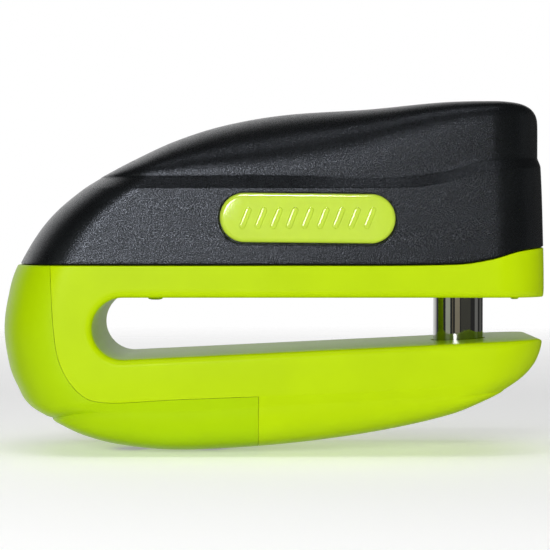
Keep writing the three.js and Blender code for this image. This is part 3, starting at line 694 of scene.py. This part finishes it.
def stadium(length, height, steps=40):
    """A long oval about the origin, counter-clockwise in (x, z)."""
    radius = height / 2
    flat = (length - height) / 2
    points = []
    for centre, start in ((flat, -math.pi / 2), (-flat, math.pi / 2)):
        for angle in np.linspace(start, start + math.pi, steps):
            points.append((centre + radius * math.cos(angle), radius * math.sin(angle)))
    return np.array(points)


def turned(shape, angle):
    """Points in (x, z), turned about the origin."""
    cos, sin = math.cos(angle), math.sin(angle)
    return shape @ np.array([[cos, -sin], [sin, cos]]).T


def on_badge(shape, distance, side):
    """An outline about the badge's middle, put at this distance off the middle plane."""
    x, z = BADGE_X + shape[:, 0], BADGE_Z + shape[:, 1]
    loop = np.column_stack([x, np.full(len(x), side * distance), z])
    return loop if side < 0 else loop[::-1]


def badge_loops(levels, side):
    """The badge's outline, drawn in by each level's inset."""
    loops = []
    for inset, distance in levels:
        shape = stadium(BADGE_LENGTH - 2 * inset, BADGE_HEIGHT - 2 * inset)
        loops.append(on_badge(turned(shape, BADGE_TILT), distance, side))
    return loops


def badge_pocket(side):
    """The recess in the cover that a badge sits in, with a rounded lip."""
    return piece_from("tool", *stack(badge_loops(POCKET, side)))


def badge_crown(inset):
    """How far the badge's face stands off the middle plane, this far in from its edge."""
    edge, rise = BADGE_CROWN
    return edge + rise * (1 - ((BADGE_HEIGHT / 2 - inset) / (BADGE_HEIGHT / 2)) ** 2)


def build_badge(side, node):
    """A domed badge with a rounded rim and a row of slanted bars."""
    levels = [(0.05, BADGE_BACK), (0.0, BADGE_SHOULDER)]
    rim_height = badge_crown(BADGE_RIM) - BADGE_SHOULDER
    for angle in np.linspace(0, math.pi / 2, 12):
        inset = BADGE_RIM * (1 - math.cos(angle))
        levels.append((inset, BADGE_SHOULDER + rim_height * math.sin(angle)))
    for inset in np.linspace(BADGE_RIM + 0.15, BADGE_HEIGHT / 2 - 0.02, 18):
        levels.append((inset, badge_crown(inset)))
    badge = piece_from(node + "_visual", *stack(badge_loops(levels, side)))
    for i in range(BARS):
        along = (i - (BARS - 1) / 2) * BAR["pitch"]
        combine(badge, badge_bar(side, along), "UNION")
    finish_piece(badge, node, "casing", badge_gloss(), 40)


def badge_bar(side, along):
    """One slanted raised bar of the badge's plain relief."""
    loops = []
    for inset, distance in BAR_LEVELS:
        shape = stadium(BAR["length"] - 2 * inset, BAR["width"] - 2 * inset, 10)
        shape = turned(shape, BAR["slant"]) + [along, 0]
        loops.append(on_badge(shape, distance, side))
    return piece_from("tool", *stack(loops))


# ---------- turned steel and lock parts ----------

ROUND = 128  # segments round a turned piece
STEEL = (0.38, 0.39, 0.41)
BLACKENED_STEEL = (0.12, 0.125, 0.13)
ZINC = (0.42, 0.43, 0.45)
PLATED_STEEL = (0.5, 0.51, 0.53)
SPRING_STEEL = (0.33, 0.34, 0.36)
BRASS = (0.55, 0.40, 0.16)


def turned_box(node):
    """A turned node's bottom, top and radius, from its box in the frame."""
    low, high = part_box(node)
    return low.z / MM, high.z / MM, (high.x - low.x) / 2 / MM


def build_pin():
    """The locking pin, with a lead-in at its tip."""
    tip, top, r = turned_box("locking_pin")
    lead_in = 1.2
    profile = [(0, tip), (r - lead_in, tip), (r, tip + lead_in), (r, top), (0, top)]
    pin = lathe("locking_pin_visual", rounded(profile, 0.35), ROUND)
    finish_piece(pin, "locking_pin", "plunger", polished_steel(), 40)


def build_barrel():
    """The cylinder that is pushed down, with its seal groove and its bores for pin and plug."""
    bottom, top, r = turned_box("barrel")
    skirt, groove, cap_seat, bore = 7.9, 8.9, 8.6, 6.4
    profile = [
        (0, 14.5), (skirt, 14.5), (skirt, bottom), (r, bottom), (r, 11.8), (groove, 11.8),
        (groove, 13.4), (r, 13.4), (r, top), (cap_seat, top), (cap_seat, 36.4), (bore, 36.4),
        (bore, 19.4), (0, 19.4),
    ]
    barrel = lathe("barrel_visual", rounded(profile, 0.3), ROUND)
    pin_socket = rod_tool(PIN_RADIUS + 0.15, 0, 17.15, segments=96)
    latch_way = box_tool(-FAR, 3.2, -4.35, 4.35, 17.35, 19.45)
    guide_groove = box_tool(-1.5, 1.5, 8.4, FAR, 14.8, 33.0)
    for tool in (pin_socket, latch_way, guide_groove):
        combine(barrel, tool)
    finish_piece(barrel, "barrel", "plunger", satin_metal("zinc_satin", ZINC), 35)


def build_cap():
    """The barrel's black face: a shallow ring round the plug, with an index notch."""
    bottom, top, _ = turned_box("barrel_cap")
    inner, outer = 4.6, 8.4
    profile = [
        (inner, bottom), (outer, bottom), (outer, top - 0.25), (7.6, top + 0.05), (6.2, top),
        (5.4, top - 0.12), (inner, top - 0.5),
    ]
    cap = lathe("barrel_cap_visual", rounded(profile, 0.2), ROUND)
    combine(cap, box_tool(5.6, 7.4, -0.35, 0.35, top - 0.35, FAR))
    finish_piece(cap, "barrel_cap", "plunger", black_plastic("black_cap", 0.35), 35)


def build_plug():
    """The keyed plug, hollow for its discs, with the keyway in its face."""
    bottom, top, r = turned_box("plug")
    hollow, face = 4.8, 4.3
    profile = [
        (0, 34.2), (hollow, 34.2), (hollow, bottom), (r, bottom), (r, 36.2), (face, 36.2),
        (face, top), (0, top),
    ]
    plug = lathe("plug_visual", rounded(profile, 0.25), 112)
    sidebar_slit = box_tool(4, 7, -0.8, 0.8, 21.2, 33.2)
    combine(plug, keyway_tool(33, FAR))
    combine(plug, sidebar_slit)
    finish_piece(plug, "plug", "cylinder_plug", satin_metal("brass_satin", BRASS), 35)


def keyway_tool(z0, z1, radius=3.1):
    """The key's way: a half-round slot with flared lips at the face."""
    shape = [(radius * math.cos(a), radius * math.sin(a)) for a in np.linspace(0, math.pi, 25)]
    shape += [(-radius, -0.5), (radius, -0.5)]
    face = turned_box("plug")[1]
    levels = [(z0, 1, 0), (face - 0.35, 1, 0), (face + 0.05, 1.1, 0.1), (z1, 1.1, 0.1)]
    loops = [[(x * grow, y * grow + up, z) for x, y in shape] for z, grow, up in levels]
    return piece_from("tool", *stack(loops))


def build_guard_screws():
    """The two screws under the heel guard, each with a six-sided socket."""
    head, shank, socket = (GUARD_SCREW[size] for size in ("head", "shank", "socket"))
    for number, x in zip((1, 2), guard_screw_places()):
        node = f"guard_screw_{number}"
        bottom, top, _ = turned_box(node)
        under_head = bottom + GUARD_SCREW["deep"]
        profile = [
            (0, bottom), (head, bottom), (head, under_head), (shank, under_head), (shank, top),
            (0, top),
        ]
        screw = lathe(node + "_visual", rounded(profile, 0.3), 64)
        combine(screw, rod_tool(socket, bottom - 1, bottom + 0.6, segments=6))
        screw.data.transform(Matrix.Translation((x * MM, 0, 0)))
        finish_piece(screw, node, "casing", satin_metal("screw_zinc", PLATED_STEEL), 35)


# ---------- materials ----------


def new_material(name):
    material = bpy.data.materials.new(name)
    material.use_nodes = True
    tree = material.node_tree
    return material, tree, tree.nodes["Principled BSDF"]


def noise(tree, scale, detail=3.0):
    """A noise whose scale counts features per millimetre."""
    coords = tree.nodes.get("coords") or tree.nodes.new("ShaderNodeTexCoord")
    coords.name = "coords"
    node = tree.nodes.new("ShaderNodeTexNoise")
    node.inputs["Scale"].default_value = scale / MM
    node.inputs["Detail"].default_value = detail
    tree.links.new(coords.outputs["Object"], node.inputs["Vector"])
    return node


def spread(tree, source, low, high, start=0.3, end=0.7):
    """Maps a value from one range to another."""
    node = tree.nodes.new("ShaderNodeMapRange")
    node.inputs["From Min"].default_value = start
    node.inputs["From Max"].default_value = end
    node.inputs["To Min"].default_value = low
    node.inputs["To Max"].default_value = high
    tree.links.new(source, node.inputs["Value"])
    return node.outputs["Result"]


def bump(tree, shader, height, distance):
    """Raises the surface by a height of 0 to 1 times distance, in millimetres."""
    node = tree.nodes.new("ShaderNodeBump")
    node.inputs["Distance"].default_value = distance * MM
    node.inputs["Strength"].default_value = 1.0
    tree.links.new(height, node.inputs["Height"])
    tree.links.new(node.outputs["Normal"], shader.inputs["Normal"])


def roughen(tree, shader, source, low, high, start=0.3, end=0.7):
    """Lets a noise vary the roughness between two values."""
    rough = spread(tree, source.outputs["Fac"], low, high, start, end)
    tree.links.new(rough, shader.inputs["Roughness"])


def tinted(tree, shader, color, amount, scale):
    """The base colour, varied a little by a broad noise."""
    mix = tree.nodes.new("ShaderNodeMix")
    mix.data_type = "RGBA"
    mix.inputs[6].default_value = (*[c * (1 - amount) for c in color], 1)
    mix.inputs[7].default_value = (*[min(1, c * (1 + amount)) for c in color], 1)
    tree.links.new(spread(tree, noise(tree, scale).outputs["Fac"], 0, 1), mix.inputs[0])
    tree.links.new(mix.outputs[2], shader.inputs["Base Color"])


def lime_plastic(name, color):
    """Satin lime plastic with hardly any sheen."""
    material, tree, shader = new_material(name)
    tinted(tree, shader, color, 0.035, 0.08)
    fine = noise(tree, 2.2, 2.0)
    roughen(tree, shader, fine, 0.30, 0.38)
    bump(tree, shader, fine.outputs["Fac"], 0.008)
    shader.inputs["Specular IOR Level"].default_value = 0.09
    return material


def badge_gloss():
    """The badge's paler lime plastic, under a gloss coat."""
    material, tree, shader = new_material("lime_badge")
    tinted(tree, shader, (0.47, 0.63, 0.045), 0.03, 0.3)
    fine = noise(tree, 0.5, 2.0)
    roughen(tree, shader, fine, 0.10, 0.16)
    bump(tree, shader, fine.outputs["Fac"], 0.02)
    shader.inputs["Coat Weight"].default_value = 0.5
    shader.inputs["Coat Roughness"].default_value = 0.06
    return material


def black_plastic(name="black_grain", grain=1.0):
    """Black plastic with a fine leathery grain that sparkles where it faces the light."""
    material, tree, shader = new_material(name)
    tinted(tree, shader, (0.0040, 0.0046, 0.0048), 0.2, 0.15)
    shader.inputs["Specular Tint"].default_value = (0.80, 0.86, 1.0, 1)
    shader.inputs["Specular IOR Level"].default_value = 0.5
    specks = noise(tree, 6.0, 1.0)
    roughen(tree, shader, specks, 0.40, 0.16, 0.42, 0.60)
    grit = noise(tree, 4.2, 2.0)
    bump(tree, shader, grit.outputs["Fac"], 0.066 * grain)
    return material


def polished_steel():
    """Ground and polished steel, with faint streaks along the pin."""
    material, tree, shader = new_material("pin_polished")
    tinted(tree, shader, (0.44, 0.44, 0.43), 0.05, 0.2)
    shader.inputs["Metallic"].default_value = 1.0
    streaks = noise(tree, 1.0, 2.0)
    stretch = tree.nodes.new("ShaderNodeMapping")
    stretch.inputs["Scale"].default_value = (0.9, 0.9, 0.02)
    tree.links.new(tree.nodes["coords"].outputs["Object"], stretch.inputs["Vector"])
    tree.links.new(stretch.outputs["Vector"], streaks.inputs["Vector"])
    roughen(tree, shader, streaks, 0.03, 0.08)
    bump(tree, shader, streaks.outputs["Fac"], 0.003)
    return material


def satin_metal(name, color, roughness=0.34):
    """A plain metal with a fine satin finish, made once for each name."""
    found = bpy.data.materials.get(name)
    if found:
        return found
    material, tree, shader = new_material(name)
    tinted(tree, shader, color, 0.08, 0.25)
    shader.inputs["Metallic"].default_value = 1.0
    fine = noise(tree, 3.0, 3.0)
    roughen(tree, shader, fine, roughness - 0.06, roughness + 0.08)
    bump(tree, shader, fine.outputs["Fac"], 0.006)
    return material


def rubber():
    """The dull black rubber of the barrel's seal."""
    material, tree, shader = new_material("seal_rubber")
    tinted(tree, shader, (0.012, 0.012, 0.013), 0.2, 0.5)
    fine = noise(tree, 3.0, 2.0)
    roughen(tree, shader, fine, 0.6, 0.75)
    bump(tree, shader, fine.outputs["Fac"], 0.01)
    return material


def finish_piece(obj, node, body, material, sharp):
    """Shades a visual piece, hangs it on its body and lets it stand for its CAD node."""
    obj.data.materials.clear()
    obj.data.materials.append(material)
    smooth(obj, sharp)
    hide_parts(node)
    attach(obj, body)


def dress_cad_nodes():
    """Gives every CAD node that stays its own kind of metal or rubber."""
    steel = satin_metal("steel_satin", STEEL)
    looks = {
        "jaw_steel": satin_metal("jaw_blackened", BLACKENED_STEEL, 0.42),
        "zinc": satin_metal("zinc_satin", ZINC),
        "brass": satin_metal("brass_satin", BRASS),
        "screw_steel": satin_metal("screw_zinc", PLATED_STEEL),
        "spring_steel": satin_metal("spring_wire", SPRING_STEEL, 0.28),
        "seal_rubber": rubber(),
    }
    for node, slot in SLOTS.items():
        obj = frame["nodes"][node]
        obj.data.materials.clear()
        obj.data.materials.append(looks.get(slot, steel))


# ---------- studio ----------

FLOOR_Z = CAD_BOX[0][2] - 0.0002
FLOOR_FADE = (0.16, 0.55)  # metres from the lock over which the floor runs out into the white room


def build_floor():
    """A plain pale floor that fades into the white room."""
    material, tree, shader = new_material("studio_white")
    tinted(tree, shader, (0.9, 0.9, 0.9), 0.01, 0.005)
    shader.inputs["Roughness"].default_value = 0.8
    shader.inputs["Specular IOR Level"].default_value = 0.1
    shader.inputs["Emission Color"].default_value = (1, 1, 1, 1)
    shader.inputs["Emission Strength"].default_value = 0.3
    reach = tree.nodes.new("ShaderNodeVectorMath")
    reach.operation = "LENGTH"
    tree.links.new(tree.nodes["coords"].outputs["Object"], reach.inputs[0])
    solid = spread(tree, reach.outputs["Value"], 1, 0, *FLOOR_FADE)
    tree.links.new(solid, shader.inputs["Alpha"])
    segments = 64
    mesh = bpy.data.meshes.new("studio_floor")
    turns = [2 * math.pi * i / segments for i in range(segments)]
    radius = FLOOR_FADE[1]
    verts = [(radius * math.cos(turn), radius * math.sin(turn), 0) for turn in turns]
    mesh.from_pydata(verts, [], [tuple(range(segments))])
    floor = bpy.data.objects.new("studio_floor", mesh)
    floor.location = (PIN_X - CAMERA_BACK, 0, FLOOR_Z)
    floor.visible_glossy = False
    bpy.context.scene.collection.objects.link(floor)
    floor.data.materials.append(material)


def add_light(name, azimuth, elevation, distance, size, power, glossy=True):
    """A soft light, placed by its angles right of and above the camera's axis."""
    light = bpy.data.lights.new(name, "AREA")
    light.shape = "RECTANGLE"
    light.size, light.size_y = size
    light.energy = power
    turn, rise = math.radians(azimuth), math.radians(elevation)
    level = math.cos(rise)
    away = Vector((math.sin(turn) * level, -math.cos(turn) * level, math.sin(rise)))
    obj = bpy.data.objects.new(name, light)
    obj.location = Vector((PIN_X - CAMERA_BACK, 0, 0)) + away * distance
    obj.rotation_euler = (-away).to_track_quat("-Z", "Y").to_euler()
    obj.visible_camera = False
    obj.visible_glossy = glossy
    bpy.context.scene.collection.objects.link(obj)
    return obj


# Name, azimuth, elevation, distance, size and power. The fills leave no highlights.
SHEEN_LIGHTS = [
    ("key_softbox", -14, 10, 0.50, (0.12, 0.09), 0.90),
    ("roof_strip", -4, 70, 0.50, (0.16, 0.012), 0.16),
]
FILL_LIGHTS = [
    ("front_fill", -10, 2, 0.70, (0.5, 0.5), 1.9),
    ("right_fill", 50, -2, 0.70, (0.4, 0.3), 1.5),
    ("top_fill", 0, 80, 0.90, (1.2, 1.0), 4.0),
]
BADGE_GLINT = ("badge_glint", -8, 56, 0.50, (0.16, 0.06), 2.0)
# Dim upright cards that the polished pin mirrors: azimuth, width, power and colour.
PIN_STRIPS = [
    (-50, 0.26, 0.17, (0.95, 1.0, 0.80)),
    (-26, 0.05, 0.010, (1.0, 0.85, 0.55)),
    (-4, 0.24, 0.100, (1.0, 0.88, 0.62)),
    (35, 0.50, 0.030, (1.0, 1.0, 0.7)),
    (90, 0.20, 0.050, (1.0, 1.0, 0.95)),
    (122, 0.20, 0.025, (1.0, 1.0, 0.95)),
]
CARD_DISTANCE = 0.60
CARD_HEIGHT = 0.4
SKY_DIM = 0.04  # radiance of the room in front, above and to the right
SKY_LIT = 1.00  # radiance of the backdrop behind the lock
SKY_FACING = (-0.35, 0.92, 0.12)  # towards the middle of the bright backdrop
SKY_EDGE = (0.68, 0.97)  # cosines from that middle between which the room brightens


def build_world():
    """A white room: plain white where it is seen, dimmer to the right and behind the camera."""
    world = bpy.data.worlds.new("studio")
    world.use_nodes = True
    tree = world.node_tree
    lit = tree.nodes["Background"]
    coords = tree.nodes.new("ShaderNodeTexCoord")
    facing = tree.nodes.new("ShaderNodeVectorMath")
    facing.operation = "DOT_PRODUCT"
    facing.inputs[1].default_value = SKY_FACING
    tree.links.new(coords.outputs["Generated"], facing.inputs[0])
    ramp = tree.nodes.new("ShaderNodeMapRange")
    ramp.interpolation_type = "SMOOTHSTEP"
    ramp.inputs["From Min"].default_value, ramp.inputs["From Max"].default_value = SKY_EDGE
    ramp.inputs["To Min"].default_value = SKY_DIM
    ramp.inputs["To Max"].default_value = SKY_LIT
    tree.links.new(facing.outputs["Value"], ramp.inputs["Value"])
    tree.links.new(ramp.outputs["Result"], lit.inputs["Strength"])
    lit.inputs["Color"].default_value = (1, 1, 1, 1)
    seen = tree.nodes.new("ShaderNodeBackground")
    seen.inputs["Color"].default_value = (1, 1, 1, 1)
    path = tree.nodes.new("ShaderNodeLightPath")
    mix = tree.nodes.new("ShaderNodeMixShader")
    tree.links.new(path.outputs["Is Camera Ray"], mix.inputs[0])
    tree.links.new(lit.outputs[0], mix.inputs[1])
    tree.links.new(seen.outputs[0], mix.inputs[2])
    tree.links.new(mix.outputs[0], tree.nodes["World Output"].inputs["Surface"])
    bpy.context.scene.world = world


CAMERA_DISTANCE = 0.450
CAMERA_HEIGHT = 0.0139
CAMERA_BACK = 0.0369  # behind the pin's axis
CAMERA_TILT = math.radians(1.26)
LENS_MM = 146.1


def build_camera():
    """A long lens on the lock's side, a little above it and tilted down."""
    camera = bpy.data.cameras.new("camera")
    camera.lens = LENS_MM
    camera.sensor_width = 36
    camera.clip_start = 0.01
    obj = bpy.data.objects.new("camera", camera)
    obj.location = (PIN_X - CAMERA_BACK, -CAMERA_DISTANCE, CAMERA_HEIGHT)
    obj.rotation_euler = (math.pi / 2 - CAMERA_TILT, 0, 0)
    bpy.context.scene.collection.objects.link(obj)
    bpy.context.scene.camera = obj


def add_badge_glint():
    """A light that only the badges mirror, for the glint along their upper edge."""
    glint = add_light(*BADGE_GLINT)
    glint.visible_diffuse = False
    badges = bpy.data.collections.new("badges")
    for node in ("badge_front", "badge_rear"):
        badges.objects.link(bpy.data.objects[node + "_visual"])
    glint.light_linking.receiver_collection = badges


def build_studio():
    """The floor, the room, the lights and the camera."""
    build_floor()
    build_world()
    for light in SHEEN_LIGHTS:
        add_light(*light)
    for light in FILL_LIGHTS:
        add_light(*light, glossy=False)
    add_badge_glint()
    for azimuth, width, power, color in PIN_STRIPS:
        size = (width, CARD_HEIGHT)
        strip = add_light(f"pin_strip_{azimuth}", azimuth, 0, CARD_DISTANCE, size, power)
        strip.data.color = color
        strip.visible_diffuse = False
    build_camera()
    bpy.context.scene.view_settings.view_transform = "Standard"


dress_cad_nodes()
build_casings()
build_cover()
build_badge(-1, "badge_front")
build_badge(1, "badge_rear")
build_pin()
build_barrel()
build_cap()
build_plug()
build_guard_screws()
build_studio()
